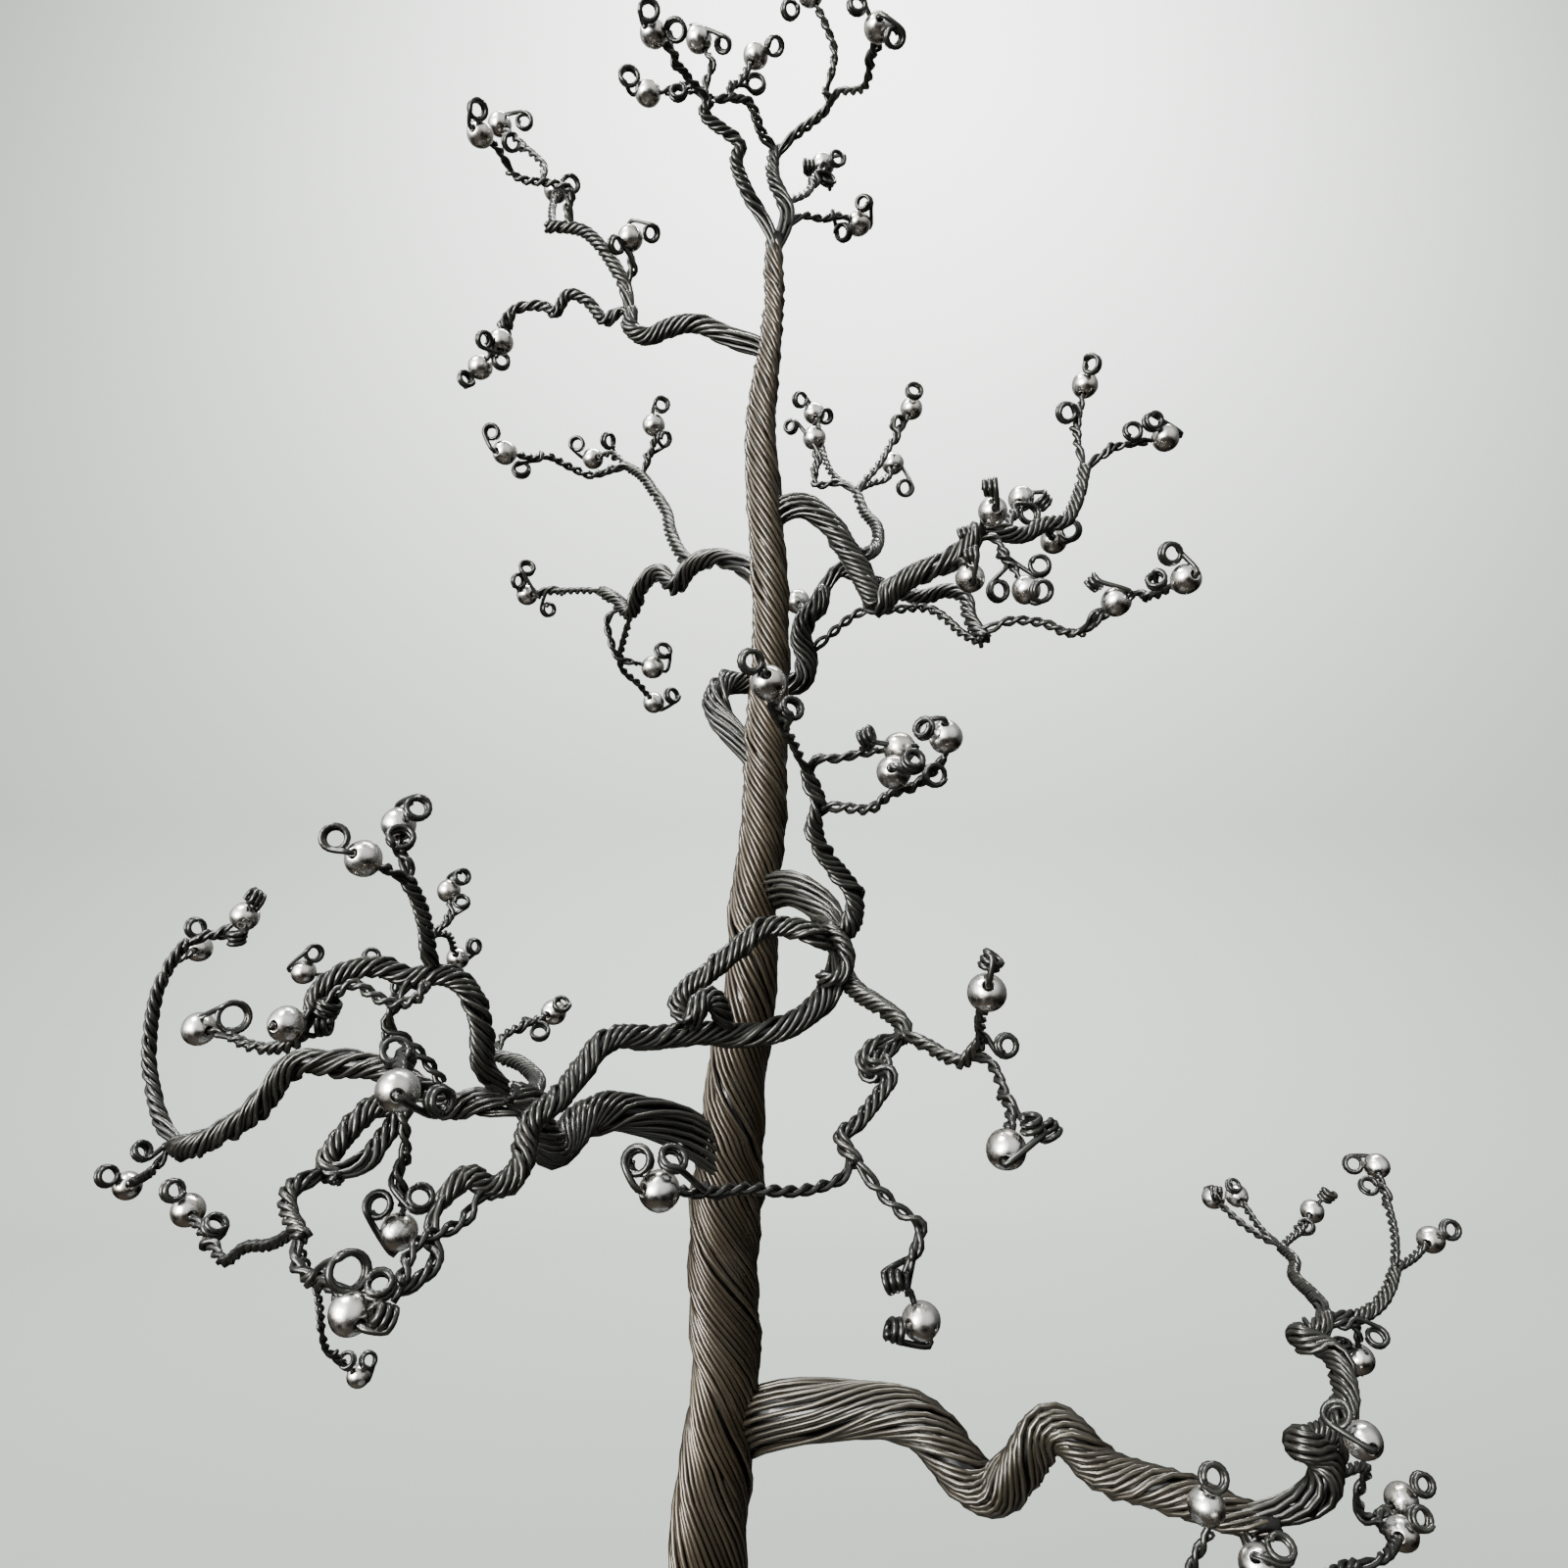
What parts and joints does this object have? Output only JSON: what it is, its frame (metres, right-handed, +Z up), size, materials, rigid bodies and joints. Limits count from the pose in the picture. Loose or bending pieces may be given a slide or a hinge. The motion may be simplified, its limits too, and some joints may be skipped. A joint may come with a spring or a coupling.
{
  "type": "wire tree sculpture",
  "caption": "Bare tree of twisted dark steel wire whose twigs end in round silver beads and coiled loops, rooted on a low round plinth; a table ornament.",
  "frame": {"origin": "centre of the plinth's underside", "axes": "+Z up along the trunk, -Y towards the front, which is the side the picture shows"},
  "size_m": [0.2931, 0.1711, 0.435],
  "materials": {
    "wire_steel": "dark annealed steel wire, semi-gloss",
    "bead_silver": "polished silver plate, slightly dented",
    "plinth_stone": "honed dark slate"
  },
  "bodies": {
    "root": {"crown": "wire_steel", "crown_bead_1": "bead_silver", "crown_bead_2": "bead_silver", "crown_bead_3": "bead_silver", "crown_bead_4": "bead_silver", "crown_bead_5": "bead_silver", "crown_bead_6": "bead_silver", "far_right_limb": "wire_steel", "far_right_limb_bead_1": "bead_silver", "far_right_limb_bead_2": "bead_silver", "front_limb": "wire_steel", "front_limb_bead_1": "bead_silver", "front_limb_bead_2": "bead_silver", "front_limb_bead_3": "bead_silver", "front_limb_bead_4": "bead_silver", "front_limb_bead_5": "bead_silver", "front_limb_bead_6": "bead_silver", "front_limb_bead_7": "bead_silver", "front_limb_bead_8": "bead_silver", "left_limb": "wire_steel", "lower_left_back_limb": "wire_steel", "lower_left_limb": "wire_steel", "lower_left_limb_bead_1": "bead_silver", "lower_left_limb_bead_10": "bead_silver", "lower_left_limb_bead_2": "bead_silver", "lower_left_limb_bead_3": "bead_silver", "lower_left_limb_bead_4": "bead_silver", "lower_left_limb_bead_5": "bead_silver", "lower_left_limb_bead_6": "bead_silver", "lower_left_limb_bead_7": "bead_silver", "lower_left_limb_bead_8": "bead_silver", "lower_left_limb_bead_9": "bead_silver", "lower_right_limb": "wire_steel", "lower_right_limb_bead_1": "bead_silver", "lower_right_limb_bead_2": "bead_silver", "lower_right_limb_bead_3": "bead_silver", "lower_right_rise_limb": "wire_steel", "lower_right_rise_limb_bead_1": "bead_silver", "lower_right_rise_limb_bead_2": "bead_silver", "lower_right_rise_limb_bead_3": "bead_silver", "lower_right_rise_limb_bead_4": "bead_silver", "plinth": "plinth_stone", "right_limb": "wire_steel", "right_limb_bead_1": "bead_silver", "right_limb_bead_2": "bead_silver", "right_limb_bead_3": "bead_silver", "right_limb_bead_4": "bead_silver", "right_limb_bead_5": "bead_silver", "right_limb_bead_6": "bead_silver", "trunk": "wire_steel", "upper_left_limb": "wire_steel", "upper_left_limb_bead_1": "bead_silver", "upper_left_limb_bead_2": "bead_silver", "upper_left_limb_bead_3": "bead_silver"}
  },
  "joints": []
}
